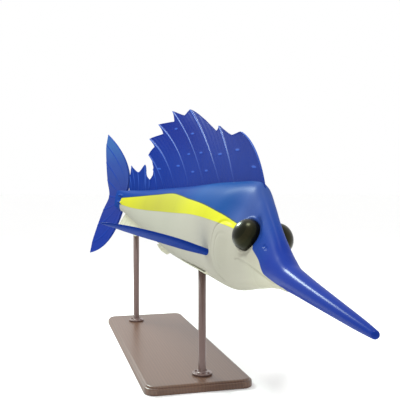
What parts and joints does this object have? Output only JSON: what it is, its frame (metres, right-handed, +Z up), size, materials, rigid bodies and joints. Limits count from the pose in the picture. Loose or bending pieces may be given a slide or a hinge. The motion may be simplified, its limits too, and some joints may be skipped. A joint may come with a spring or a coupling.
{
  "type": "sailfish",
  "caption": "Life-size sailfish with a raised ribbed sail, a long round bill and a tail swept to one side, held by rods over a flat wooden base.",
  "frame": {"origin": "centre of the underside of the stand's base, on the floor", "axes": "+Z up, +X along the base towards the bill, +Y to the fish's left"},
  "size_m": [2.2785, 0.606, 0.9787],
  "materials": {
    "blue_skin": "glossy clear-coated paint",
    "pale_skin": "glossy clear-coated paint",
    "eye": "polished",
    "base_wood": "satin varnish",
    "rod_metal": "satin brown lacquer"
  },
  "bodies": {
    "root": {"bill": "blue_skin", "head": "blue_skin", "lower_jaw": "pale_skin", "torso_front": "pale_skin", "torso_rear": "pale_skin", "tail_stalk": "pale_skin", "sail": "blue_skin", "second_dorsal_fin": "blue_skin", "first_anal_fin": "pale_skin", "second_anal_fin": "pale_skin", "tail_fin_upper": "blue_skin", "tail_fin_lower": "blue_skin", "eye_left": "eye", "eye_right": "eye", "gill_cover_left": "pale_skin", "gill_cover_right": "pale_skin", "pectoral_fin_left": "blue_skin", "pectoral_fin_right": "blue_skin", "pelvic_fin_left": "pale_skin", "pelvic_fin_right": "pale_skin", "stand_base": "base_wood", "stand_rod_front": "rod_metal", "stand_rod_rear": "rod_metal"}
  },
  "joints": []
}
